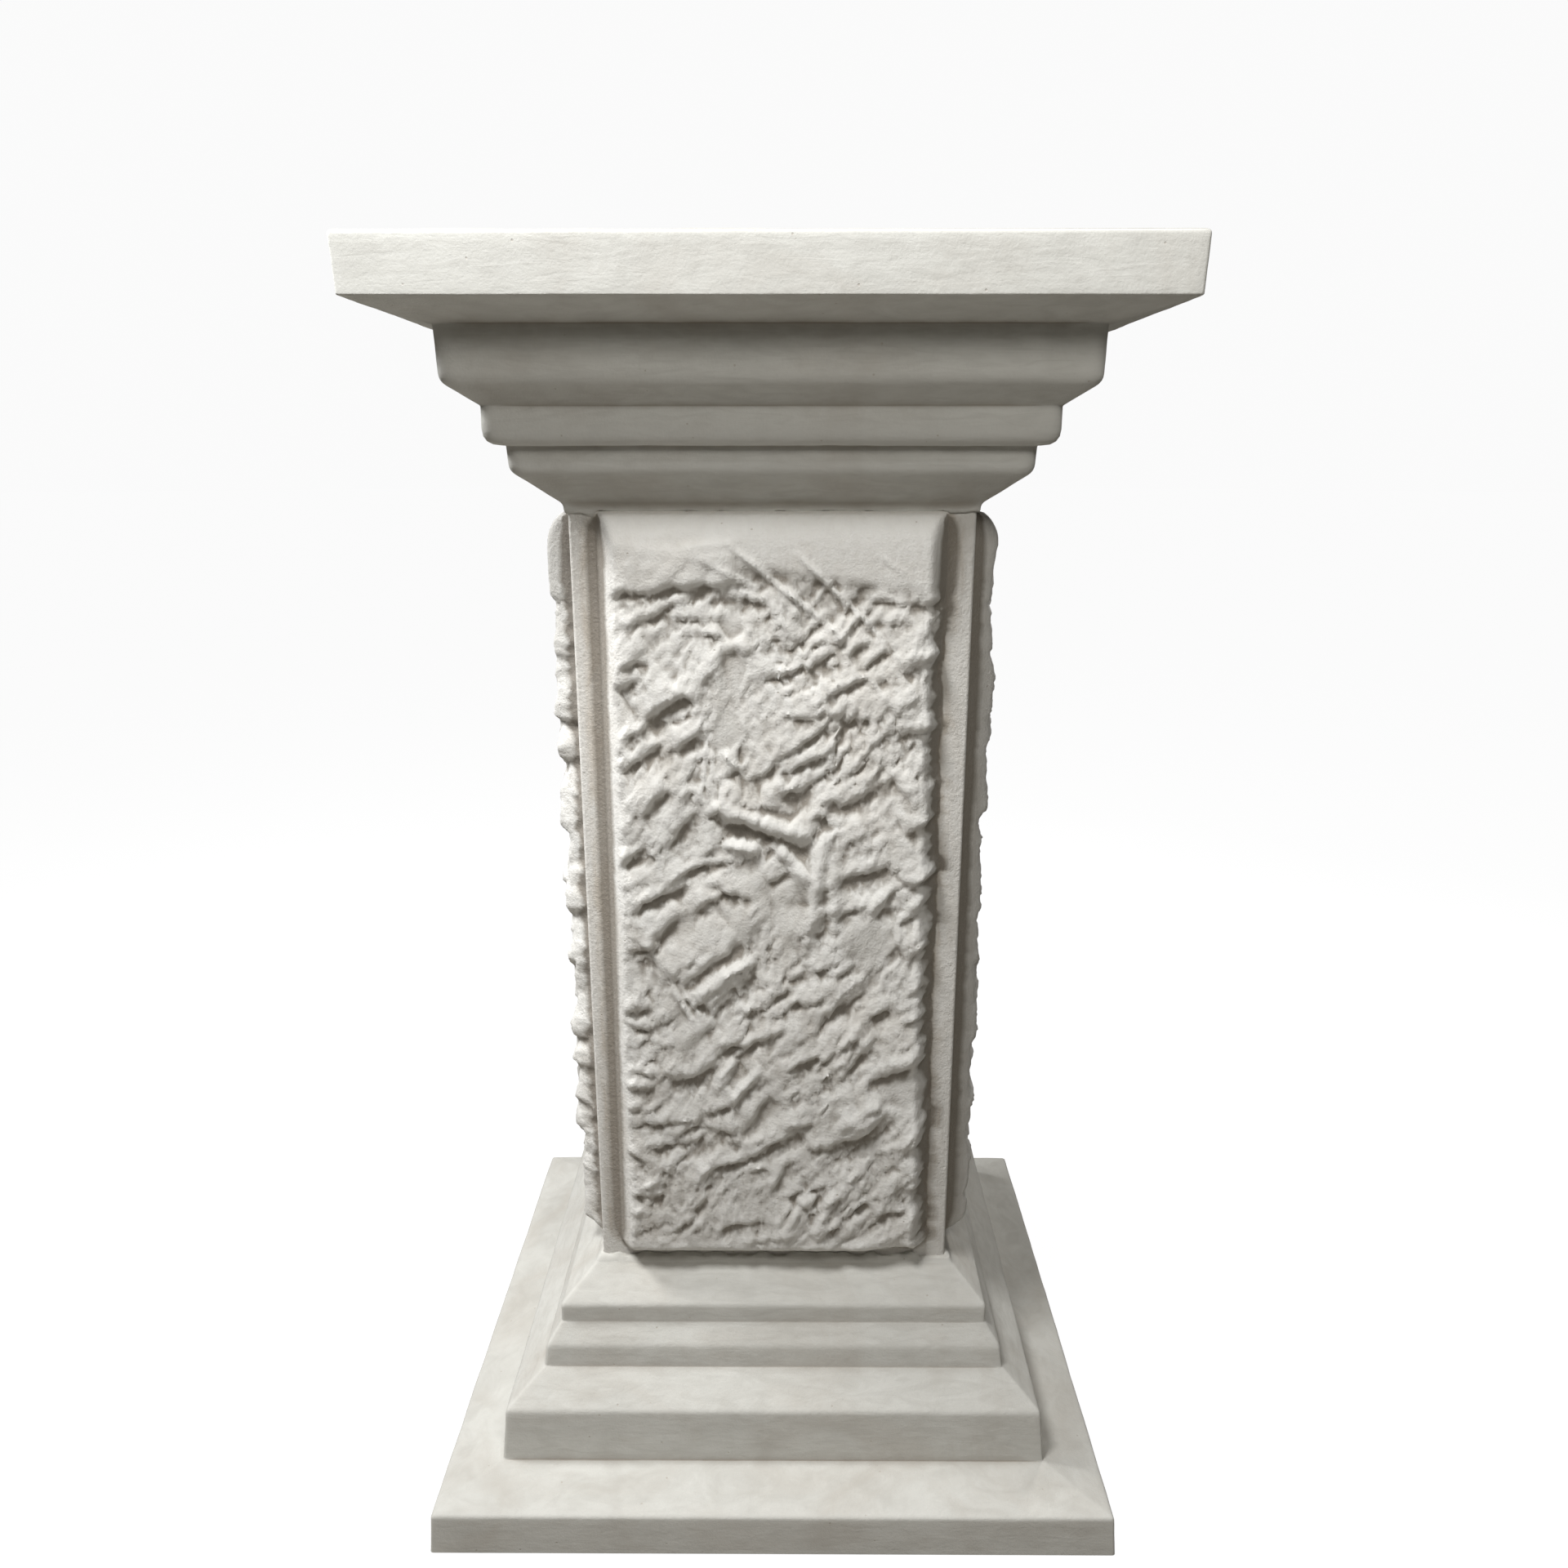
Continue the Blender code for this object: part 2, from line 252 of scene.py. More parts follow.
def eased(outline):
    """The outline with eased arrises and long stretches divided.

    Each corner is (half width, height, easing, plan corner radius). Two easings on a short edge share it.
    """
    points = [Vector((outline[0][0], outline[0][1], outline[0][3]))]
    for before, corner, after in zip(outline, outline[1:], outline[2:]):
        easing = corner[2]
        here = Vector((corner[0], corner[1], corner[3]))
        to_before = Vector((before[0], before[1], corner[3])) - here
        to_after = Vector((after[0], after[1], corner[3])) - here
        share_before = easing / (easing + before[2])
        share_after = easing / (easing + after[2])
        reach = min(easing, to_before.length * share_before, to_after.length * share_after)
        start = here + to_before.normalized() * reach
        end = here + to_after.normalized() * reach
        for step in range(ARRIS_STEPS + 1):
            k = step / ARRIS_STEPS
            points.append(start * (1 - k) ** 2 + here * 2 * k * (1 - k) + end * k ** 2)
    points.append(Vector((outline[-1][0], outline[-1][1], outline[-1][3])))
    divided = [points[0]]
    for before, after in zip(points, points[1:]):
        parts = max(1, round((after - before).xy.length / LEVEL_STEP))
        divided += [before.lerp(after, part / parts) for part in range(1, parts + 1)]
    return divided


def square_moulding(outline, fixed_heights):
    """A moulding round a square, mitred at its corners, with the slight waviness of a hand casting."""
    points = eased(outline)
    per_side = CORNER_STEPS + SIDE_STEPS

    def place(step, level):
        half, height, radius = points[level]
        side, part = divmod(step, per_side)
        centre = half - radius
        if part <= CORNER_STEPS:
            angle = math.pi / 2 * part / CORNER_STEPS
            spot = Vector((centre + radius * math.cos(angle), centre + radius * math.sin(angle), height))
        else:
            k = (part - CORNER_STEPS) / SIDE_STEPS
            spot = Vector((centre * (1 - 2 * k), half, height))
        return Matrix.Rotation(side * math.pi / 2, 3, "Z") @ spot

    bm = wrapped_sheet(SIDES * per_side, len(points), place)
    waver(bm, fixed_heights)
    return bm


WAVER_SIZE = 45 * MM
WAVER_DEPTH = 0.45 * MM
RIPPLE_SIZE = 11 * MM
RIPPLE_DEPTH = 0.18 * MM
NICK_SIZE = 9 * MM
NICK_DEPTH = 1.6 * MM
NICK_RARITY = 0.42


def waver(bm, fixed_heights):
    """Push the skin in and out a little and nick its arrises. Levels at fixed heights stay as they are."""
    bm.normal_update()
    moves = []
    for vertex in bm.verts:
        if min(abs(vertex.co.z - height) for height in fixed_heights) < WELD:
            continue
        push = noise.noise(vertex.co / WAVER_SIZE) * WAVER_DEPTH
        push += noise.noise(vertex.co / RIPPLE_SIZE) * RIPPLE_DEPTH
        sharpness = min(max((vertex.calc_shell_factor() - 1.01) * 12, 0), 1)
        nick = max(noise.noise(vertex.co / NICK_SIZE + Vector((7, 7, 7))) - NICK_RARITY, 0)
        push -= nick * NICK_DEPTH / (1 - NICK_RARITY) * sharpness
        moves.append((vertex, vertex.normal * push))
    for vertex, move in moves:
        vertex.co += move


def base_outline():
    """Half widths and heights of the base from the ground up to the seat of the shaft."""
    outline = []
    height = 0
    for width, face, draft, slope in BASE_MEMBERS:
        outline.append((width / 2, height, SHARP_ARRIS, BASE_CORNER))
        height += face
        outline.append((width / 2 - draft, height, STEP_ARRIS, BASE_CORNER))
        height += slope
    shaft = SHAFT_FOOT_WIDTH / 2
    steepness = slope / (width / 2 - draft - shaft - SEAT_MARGIN)
    bead_foot = height - (BEAD_WIDTH - SEAT_MARGIN) * steepness
    outline.append((shaft + BEAD_WIDTH, bead_foot, SHARP_ARRIS, BASE_CORNER))
    outline.append((shaft + BEAD_WIDTH / 4, height + BEAD_HEIGHT, BEAD_HEIGHT / 2, BASE_CORNER))
    outline.append((shaft, height + BEAD_HEIGHT, SHARP_ARRIS, BASE_CORNER))
    outline.append((shaft, height, 0, BASE_CORNER))
    return outline


def rag_bead(bm, seat, direction):
    """Make the cement that was pressed out of a joint uneven, and leave it out in places."""
    for vertex in bm.verts:
        rise = vertex.co.z - seat
        if rise * direction > WELD:
            share = 0.55 + 1.5 * noise.noise(vertex.co.xy.to_3d() / BEAD_RAG)
            vertex.co.z = seat + rise * min(max(share, BEAD_LEAST), 1)


def capital_outline():
    """Half widths and heights of the capital from the neck up to the top of the slab."""
    height = CAPITAL_Z
    shaft = SHAFT_TOP_WIDTH / 2
    outline = [(shaft, height, 0, SHAFT_CORNER)]
    outline.append((shaft, height - NECK_BEAD_HEIGHT, SHARP_ARRIS, SHAFT_CORNER))
    bead_face = NECK_WIDTH / 2 - NECK_BEAD_INSET
    outline.append((bead_face, height - NECK_BEAD_HEIGHT / 2, SHARP_ARRIS, SHAFT_CORNER))
    outline.append((NECK_WIDTH / 2, height, SHARP_ARRIS, SHAFT_CORNER))
    height += NECK_FACE
    outline.append((NECK_WIDTH / 2, height, MEMBER_ARRIS, SHAFT_CORNER))
    height += BELL_RISE
    outline.append((LISTEL_WIDTH / 2 - LISTEL_DRAFT, height, MEMBER_ARRIS, MEMBER_CORNER))
    height += LISTEL_FACE
    outline.append((LISTEL_WIDTH / 2, height, SHARP_ARRIS, MEMBER_CORNER))
    outline.append((ROLL_WIDTH / 2 - ROLL_RETURN, height, SHARP_ARRIS, MEMBER_CORNER))
    outline.append((ROLL_WIDTH / 2, height, ROLL_ROUND, MEMBER_CORNER))
    height += ROLL_FACE
    outline.append((ROLL_WIDTH / 2, height, SHARP_ARRIS, MEMBER_CORNER))
    height += SPLAY_RISE
    outline.append((FASCIA_WIDTH / 2 - FASCIA_DRAFT, height, MEMBER_ARRIS, MEMBER_CORNER))
    height += FASCIA_FACE
    outline.append((FASCIA_WIDTH / 2, height, SHARP_ARRIS, MEMBER_CORNER))
    height += SOFFIT_RISE
    outline.append((SLAB_WIDTH / 2 - SLAB_DRAFT, height, SHARP_ARRIS, SLAB_CORNER))
    height += SLAB_FACE
    outline.append((SLAB_WIDTH / 2, height, SLAB_ARRIS, SLAB_CORNER))
    outline.append((SLAB_WIDTH / 2 - 2 * SLAB_ARRIS, height, 0, SLAB_CORNER))
    return outline


# Split stone

# Breaks of the front boss, where the stone drops away below a line: across and up of the line's left end and
# of its right end, its drop, and how far its middle bows up. They and the tables below are drawn in
# millimetres on a boss of this size, and are stretched to fit the one that is made.
DRAWN_WIDTH = 217
DRAWN_HEIGHT = 518
DRAWN_PROJECTION = 20.5
MAIN_BREAKS = (
    (-100, 468, -16, 474, 6.5, 2), (-93, 446, -47, 467, 6, 0), (-80, 388, -53, 407, 10, 1),
    (-98, 408, -80, 417, 8, -1), (-62, 371, -36, 382, 8, 0), (-96, 355, -71, 377, 8, 0),
    (-83, 326, -61, 346, 9, 3), (-90, 268, -52, 284, 9, -1), (-81, 237, -54, 264, 10, 4),
    (-63, 211, -20, 245, 15, 0), (-46, 195, -13, 222, 11, -1), (-71, 144, -36, 156, 10, -2),
    (-35, 168, 10, 183, 7.5, -3), (-23, 103, -3, 134, 9, 0), (-23, 89, 21, 107, 9, -2),
    (22, 94, 78, 122, 12, -9), (27, 186, 63, 213, 8, 0), (42, 143, 67, 179, 9, -2),
    (61, 142, 104, 155, 11, 2), (30, 336, 80, 357, 11, -5), (1, 349, 25, 350, 9, -5),
    (80, 421, 104, 432, 11, 0), (79, 380, 104, 384, 9, 0), (84, 317, 104, 327, 9, 0),
    (88, 279, 104, 292, 9, 0), (-36, 326, 26, 306, 11, 2), (86, 230, 104, 238, 8, 0),
    (-98, 191, -79, 197, 7.5, 0), (-97, 55, -74, 57, 7.5, 2),
)
LESSER_BREAKS = (
    (-30, 465, 1, 461, 6, 1), (-62, 453, -25, 455, 3, 0), (-55, 444, -20, 441, 4, 1),
    (-29, 433, -14, 431, 5, -1), (-94, 423, -76, 427, 6, 0), (-63, 410, -46, 403, 5, 0),
    (-94, 380, -77, 386, 4, 0), (-77, 386, -38, 396, 3, 0), (3, 357, 40, 376, 6, -3),
    (3, 366, 48, 401, 5, -2), (5, 394, 35, 396, 4, -3), (-36, 350, -17, 359, 7, 1),
    (-13, 352, 4, 365, 7, 0), (28, 329, 40, 320, 5, 0), (-26, 338, 14, 332, 5, 0),
    (-3, 284, 12, 292, 6, 0), (84, 466, 104, 463, 7, 0), (59, 466, 83, 464, 4, 0),
    (56, 451, 87, 453, 4, -1), (43, 464, 53, 467, 4, 0), (57, 423, 73, 433, 5, 1),
    (46, 429, 62, 441, 6, 1), (19, 440, 47, 437, 4, 1), (43, 409, 56, 420, 6, 0),
    (33, 407, 44, 409, 4, 0), (7, 441, 19, 442, 4, 0), (29, 429, 39, 434, 4, 0),
    (-63, 317, -48, 330, 5, 0), (-67, 304, -56, 323, 5, 0), (-40, 327, -32, 334, 5, 0),
    (-97, 298, -80, 309, 6, 0), (-67, 285, -27, 297, 6, 3), (-53, 261, -37, 273, 6, 1),
    (-43, 282, -11, 271, 5, 0), (44, 287, 76, 293, 6, 1), (40, 257, 61, 269, 6, 2),
    (67, 258, 79, 281, 5, 0), (81, 257, 96, 263, 4, 0), (-95, 237, -77, 241, 6, 0),
    (-46, 201, -39, 193, 4, 0), (-99, 185, -82, 180, 4, 0), (-100, 138, -79, 141, 6, 0),
    (-95, 153, -76, 149, 4, 0), (-23, 160, -14, 177, 4, -2), (-35, 145, -23, 159, 4, 0),
    (8, 150, 29, 167, 6, -1), (31, 158, 42, 166, 5, 0), (42, 165, 57, 175, 5, 0),
    (63, 191, 77, 196, 5, 0), (85, 186, 102, 191, 6, 0), (88, 205, 102, 211, 6, 0),
    (0, 205, 13, 211, 4, 0), (9, 217, 21, 223, 4, 0), (25, 219, 35, 224, 4, 0),
    (39, 219, 54, 228, 6, 0), (9, 195, 17, 204, 4, 0), (-47, 119, -22, 131, 6, -2),
    (-99, 109, -46, 115, 5, 1), (-46, 111, -29, 103, 4, 0), (-86, 91, -47, 101, 6, 0),
    (-71, 100, -49, 111, 5, 0), (-104, 91, -80, 81, 6, 0), (-49, 60, -35, 73, 6, 0),
    (-50, 71, -21, 86, 5, 1), (-17, 76, -3, 78, 5, 0), (-3, 57, 10, 81, 6, 0),
    (6, 107, 28, 113, 7, 1), (24, 63, 36, 67, 4, 0), (25, 47, 31, 58, 6, 0), (9, 54, 21, 63, 5, 0),
    (71, 38, 92, 46, 6, 0), (55, 45, 66, 53, 5, 0), (4, 33, 15, 55, 5, 0), (-41, 29, -5, 38, 5, 2),
    (-87, 63, -75, 69, 5, 0), (-75, 25, -56, 41, 4, 0), (-58, 44, -44, 60, 4, 0),
    (-98, 120, -84, 124, 5, 0), (60, 121, 75, 126, 5, 0), (-100, 40, -88, 44, 4, 0),
    (90, 60, 103, 62, 4, 0), (88, 92, 103, 96, 4, 0), (-20, 18, 10, 26, 4, 0), (28, 24, 50, 34, 4, 0),
)
# Raised folds: across and up of both ends, height and half width.
FOLDS = (
    (-40, 381, -15, 352, 3, 2), (-41, 378, -45, 338, 2, 1.5), (-37, 374, -40, 342, 2, 1.5),
    (-40, 337, 26, 316, 7, 5), (-32, 311, -8, 307, 6, 4), (0, 314, 24, 285, 6, 4.5),
    (33, 320, 23, 242, 5, 4.5), (39, 305, 40, 250, 4, 4), (-55, 201, -13, 234, 6, 5),
    (-67, 213, -52, 187, 3, 2), (-61, 214, -47, 190, 2.5, 1.5), (-40, 137, -24, 160, 4.5, 3.5),
    (-28, 130, -8, 156, 4.5, 3.5), (5, 26, 24, 60, 4, 4), (28, 24, 42, 62, 4, 4),
    (-8, 346, 8, 348, 5, 9), (-34, 346, -20, 346, 4.5, 8), (50, 330, 62, 305, 2.5, 5),
    (-14, 155, -4, 168, 2.5, 5), (46, 120, 66, 112, 3, 8), (-50, 262, -2, 262, 3, 18),
    (78, 394, 88, 414, 3, 10), (82, 344, 92, 352, 4, 11),
)
# Folds that also run over the smooth head, in the same way.
HEAD_FOLDS = (
    (-100, 487, -22, 487, 4, 12), (-28, 500, 44, 442, 3.2, 1.7), (14, 494, 70, 440, 2.8, 1.7),
    (-44, 490, -8, 472, 1.6, 1.8), (-56, 496, -18, 501, 1.2, 2), (-80, 503, -42, 508, 1.0, 2),
    (62, 494, 84, 478, 1.0, 1.2), (-10, 448, 4, 434, 1.4, 1.2), (60, 418, 76, 398, 1.2, 1.2),
)
# Zones of finer or rougher crumb: across and up of the middle, half width and half height, roughness.
CRUMB_ZONES = (
    (-58, 487, 46, 15, 0.15), (-40, 255, 24, 14, 0.35), (7, 270, 16, 20, 0.25), (58, 242, 16, 18, 0.25),
    (88, 134, 16, 16, 0.25), (-6, 126, 16, 12, 0.35), (-56, 178, 14, 16, 0.35), (20, 110, 14, 14, 0.5),
    (-13, 286, 11, 12, 0.2), (54, 371, 27, 26, 1.9), (25, 455, 36, 13, 1.6),
    (20, 420, 20, 18, 1.7), (-12, 212, 15, 27, 1.5),
    (24, 140, 22, 13, 1.4), (-78, 172, 14, 26, 1.4), (30, 238, 14, 16, 1.5), (60, 52, 34, 24, 1.2),
    (-84, 360, 16, 18, 1.5), (58, 310, 18, 16, 1.2), (-70, 60, 26, 34, 1.4),
)
# Flat facets that split clean: across and up of the middle, half width and half height, depth.
FACETS = (
    (-24, 450, 7, 8, 1), (-27, 417, 7, 16, 1), (-28, 384, 8, 12, 1), (88, 134, 12, 12, 2),
)
# The other bosses carry the same breaks, moved further up on each, and varied a little.
SPLIT_FOOT = 20
SPLIT_SPAN = 446
SIDE_SHIFT = 121
SIDE_WANDER = 12


def ramp(value, start, end):
    """A smooth step from 0 at start to 1 at end."""
    k = np.clip((value - start) / (end - start), 0, 1)
    return k * k * (3 - 2 * k)


def soft_min(a, b, blend):
    """The lower of two heights, rounded where they cross."""
    near = np.maximum(blend - np.abs(a - b), 0) / blend
    return np.minimum(a, b) - near * near * blend / 4


def moved(row, index, side):
    """A row of a table as it lies on a side: as drawn on the front, and moved and varied on the others."""
    if side == 0:
        return row
    left, left_up, right, right_up, size, bow = row
    chance = noise.cell_vector(Vector((index, side, 0)))
    moved_up = left_up - SPLIT_FOOT + side * SIDE_SHIFT + chance.x * SIDE_WANDER
    rise = right_up - left_up
    left_up = moved_up % SPLIT_SPAN + SPLIT_FOOT
    aside = (chance.y - 0.5) * SIDE_WANDER
    return left + aside, left_up, right + aside, left_up + rise, size * (0.8 + 0.4 * chance.z), bow


def stretched(across, up):
    """A drawn place as it lies on the boss that is made."""
    return Vector((across * BOSS_WIDTH / DRAWN_WIDTH, up * SHAFT_HEIGHT / DRAWN_HEIGHT))


def proud(height):
    """A drawn height as it stands on the boss that is made."""
    return height * BOSS_PROJECTION / DRAWN_PROJECTION


def line_places(across, up, row):
    """How far places lie above a row's line, and how near its middle they are, from 0 at its ends to 1."""
    start = stretched(row[0], row[1])
    run = stretched(row[2], row[3]) - start
    away_across = across - start.x
    away_up = up - start.y
    along = 2 * (away_across * run.x + away_up * run.y) / run.length_squared - 1
    above = (run.x * away_up - run.y * away_across) / run.length
    return above, np.clip(1 - along ** 2, 0, 1)


def break_height(across, up, wobble, row, steepness, ledge_reach, hollow_reach):
    """Height that one break adds: proud above its line, hollow below it, and gone at its ends."""
    above, fade = line_places(across, up, row)
    above = above - stretched(row[5], 0).x * fade + wobble
    drop = proud(row[4])
    reach = np.where(above > 0, ledge_reach, hollow_reach)
    return drop / 2 * np.tanh(above / (drop * steepness)) * np.exp(-np.abs(above) / reach) * np.sqrt(fade)


def fold_height(across, up, wobble, row):
    """Height that one raised fold adds."""
    above, fade = line_places(across, up, row)
    width = stretched(row[5], 0).x
    return proud(row[4]) * np.exp(-((above + wobble) / width) ** 2) * np.sqrt(fade)


def nearness(across, up, row, blend):
    """How far places belong to an area, from 0 outside it to 1 inside, and 0.5 on its edge."""
    middle = stretched(row[0], row[1])
    reach = stretched(row[2], row[3])
    reach_across = np.abs(across - middle.x) / reach.x
    reach_up = np.abs(up - middle.y) / reach.y
    distance = (reach_across ** 3 + reach_up ** 3) ** (1 / 3)
    return ramp(-distance, -1 - blend, -1 + blend)


def plate_height(where, index, plates):
    """Height at a place of the plate whose centre is the index-th nearest, and how far that centre is."""
    distances, centres = noise.voronoi(where)
    centre = centres[index]
    chance = noise.cell_vector(centre)
    away = where - centre
    rise = away.y * (0.5 + chance.x) + away.x * (chance.y - 0.5) * 0.8
    return plates["rise"] * rise + plates["level"] * (chance.z - 0.5), distances[index]


def with_grain(across, up):
    """A place measured along the grain and across it."""
    along = across * math.cos(GRAIN_LEAN) + up * math.sin(GRAIN_LEAN)
    over = across * math.sin(GRAIN_LEAN) - up * math.cos(GRAIN_LEAN)
    return along, over


def ridge_height(along, over, side, ridges):
    """Height of rounded ridges along the grain, with sharp furrows between them."""
    where = Vector((along / ridges["length"], over / ridges["width"], side * SIDES + ridges["layer"]))
    return (abs(noise.noise(where)) - 0.2) * ridges["depth"]


def split_plates(along, over, side, plates):
    """Height of a field of split plates that rise towards their lower right edge and drop to the next."""
    spacing = plates["spacing"]
    where = Vector((along / (spacing * PLATE_STRETCH), over / spacing, side * SIDES + plates["layer"]))
    here, distance = plate_height(where, 0, plates)
    beside, beside_distance = plate_height(where, 1, plates)
    k = min((beside_distance - distance) / plates["edge"], 1)
    share = 0.5 + 0.5 * k * k * (3 - 2 * k)
    return here * share + beside * (1 - share)


def small_stone(across, up, side):
    """Waves and ridges, small plates, crumb and wobble at each place of a boss, from noise."""
    broad = np.empty(len(across))
    small = np.empty(len(across))
    crumb = np.empty(len(across))
    wobble = np.empty(len(across))
    for index, (x, z) in enumerate(zip(across, up)):
        spot = Vector((x, z, side))
        warp = noise.noise_vector(spot / (17 * MM)) * 2.6 * MM
        warp += noise.noise_vector(spot / (6 * MM)) * 1.1 * MM
        sway = noise.noise_vector(spot / (60 * MM)) * 18 * MM
        along, over = with_grain(x + warp.x + sway.x, z + warp.y + sway.y)
        broad[index] = noise.noise(spot / WAVE_SIZE) * WAVE_DEPTH
        broad[index] += ridge_height(along, over, side, BROAD_RIDGES)
        small[index] = split_plates(along, over, side, SMALL_PLATES)
        small[index] += ridge_height(along, over, side, NARROW_RIDGES)
        crumb[index] = split_plates(along, over, side, FINE_PLATES)
        crumb[index] += noise.fractal(spot / (5 * MM), 0.8, 2.1, 3) * 0.8 * MM
        wobble[index] = warp.z
    return broad, small, crumb, wobble


def split_face(across, up, side):
    """Height of the finely split stone above its mean plane, for arrays of places on a boss."""
    height, small, crumb, wobble = small_stone(across, up, side)
    for index, row in enumerate(MAIN_BREAKS):
        row = moved(row, index, side)
        height += break_height(across, up, wobble, row, DROP_STEEPNESS, LEDGE_REACH, HOLLOW_REACH)
    for index, row in enumerate(LESSER_BREAKS):
        row = moved(row, index, side)
        height += break_height(across, up, wobble, row, LESSER_STEEPNESS, LESSER_REACH, LESSER_REACH)
    for index, row in enumerate(FOLDS):
        height += fold_height(across, up, wobble * FOLD_WOBBLE, moved(row, index, side))
    height = SPLIT_LIMIT * np.tanh(height / SPLIT_LIMIT)
    roughness = np.ones(len(across))
    for row in CRUMB_ZONES if side == 0 else ():
        near = nearness(across, up, row, 0.35)
        roughness += (row[4] - roughness) * near
    for row in FACETS if side == 0 else ():
        near = nearness(across + 2 * wobble, up + 2 * wobble, row, 0.35)
        below = -proud(row[4]) - height
        height += np.where(below < 0, below, below * FACET_FILL) * near
        roughness += (0.1 - roughness) * near
    return height + (small + crumb) * roughness


def boss_projection(across, up, face, folds):
    """How far a boss stands out from its side of the shaft, with its split face and folds as given."""
    side_edge = BOSS_WIDTH / 2 - np.abs(across)
    foot = up - BOSS_FOOT_MARGIN
    into_side = BOSS_FOOT_CORNER - np.minimum(side_edge, BOSS_FOOT_CORNER)
    into_foot = BOSS_FOOT_CORNER - np.minimum(foot, BOSS_FOOT_CORNER)
    inside = BOSS_FOOT_CORNER - np.hypot(into_side, into_foot)
    edge = np.where(inside < BOSS_FOOT_CORNER, inside, side_edge)
    below_head = SHAFT_HEIGHT - up
    swell = 1 - np.clip(below_head / BOSS_HEAD_SWELL, 0, 1)
    head = BOSS_PROJECTION * np.sqrt(1 - swell ** 2)
    smooth_head = SMOOTH_HEAD_LEFT + (SMOOTH_HEAD_RIGHT - SMOOTH_HEAD_LEFT) * (across / BOSS_WIDTH + 0.5)
    split = ramp(below_head, smooth_head, smooth_head + SMOOTH_FADE)
    height = soft_min(BOSS_PROJECTION, head, BOSS_SHOULDER) - (SPLIT_DEPTH - face) * split + folds
    ragged = split * ramp(across, RAGGED_FROM, RAGGED_TO)
    bevel = (edge + (face - RAGGED_DEPTH) * ragged) * BOSS_PROJECTION / BOSS_SIDE_SLOPE
    height = soft_min(height, bevel, BOSS_SHOULDER)
    return np.where((edge <= 0) | (below_head <= 0), 0, np.maximum(height, 0))


def evenly(start, end, steps):
    """Places from start to end, both included."""
    return [start + (end - start) * step / steps for step in range(steps + 1)]


def side_columns(steps):
    """Places across one boss, closer on its sloping sides."""
    edge = BOSS_WIDTH / 2
    plateau = edge - BOSS_SIDE_SLOPE
    slope = evenly(-edge, -plateau, BEVEL_COLUMNS)[:-1]
    return slope + evenly(-plateau, plateau, steps) + [-place for place in reversed(slope)]


def shaft_solid():
    """The shaft with its four finely split bosses."""
    rows = [0, BOSS_FOOT_MARGIN / 2] + evenly(BOSS_FOOT_MARGIN, SHAFT_HEIGHT, BOSS_ROWS)
    halves = [(SHAFT_FOOT_WIDTH + SHAFT_SPREAD * up) / 2 for up in rows]
    steps = []
    for side in range(SIDES):
        columns = side_columns(OTHER_COLUMNS if side else FRONT_COLUMNS)
        across, up = np.meshgrid(columns, rows)
        across, up = across.ravel(), up.ravel()
        folds = sum(fold_height(across, up, 0, row) for row in HEAD_FOLDS) if side == 0 else 0
        out = boss_projection(across, up, split_face(across, up, side), folds).reshape(len(rows), -1)
        turn = Matrix.Rotation(side * math.pi / 2, 3, "Z")
        steps.append([turn @ Vector((-(half - SHAFT_CORNER), -half, 0)) for half in halves])
        for column, place in enumerate(columns):
            steps.append([turn @ Vector((place, -half - out[level][column], 0))
                          for level, half in enumerate(halves)])
        steps.append([turn @ Vector((half - SHAFT_CORNER, -half, 0)) for half in halves])
        cut = [half - SHAFT_CORNER * (1 - math.sqrt(0.5)) for half in halves]
        steps.append([turn @ Vector((half, -half, 0)) for half in cut])

    def place(step, level):
        return steps[step][level] + Vector((0, 0, SHAFT_FOOT_Z + rows[level]))

    bm = wrapped_sheet(len(steps), len(rows), place)
    bmesh.ops.triangulate(bm, faces=bm.faces, quad_method="SHORT_EDGE")
    return bm


# Materials

def colour(code):
    """A linear colour from an sRGB hex code."""
    parts = [int(code[index:index + 2], 16) / 255 for index in (0, 2, 4)]
    return [part / 12.92 if part <= 0.04045 else ((part + 0.055) / 1.055) ** 2.4 for part in parts] + [1]


def add(tree, kind, links=None, **settings):
    """Add a node with its settings, and link or set its inputs by name or number."""
    made = tree.nodes.new(kind)
    for key, value in settings.items():
        setattr(made, key, value)
    for key, value in (links or {}).items():
        if isinstance(value, bpy.types.NodeSocket):
            tree.links.new(value, made.inputs[key])
        else:
            made.inputs[key].default_value = value
    return made


def per_metre(size):
    """Noise scale that makes features of a size in metres."""
    return 1 / size


def blend_colour(tree, share, first, second):
    """Mix two colours by a share."""
    mix = add(tree, "ShaderNodeMix", {"Factor": share}, data_type="RGBA")
    for socket, value in ((mix.inputs[6], first), (mix.inputs[7], second)):
        if isinstance(value, bpy.types.NodeSocket):
            tree.links.new(value, socket)
        else:
            socket.default_value = value
    return mix.outputs[2]


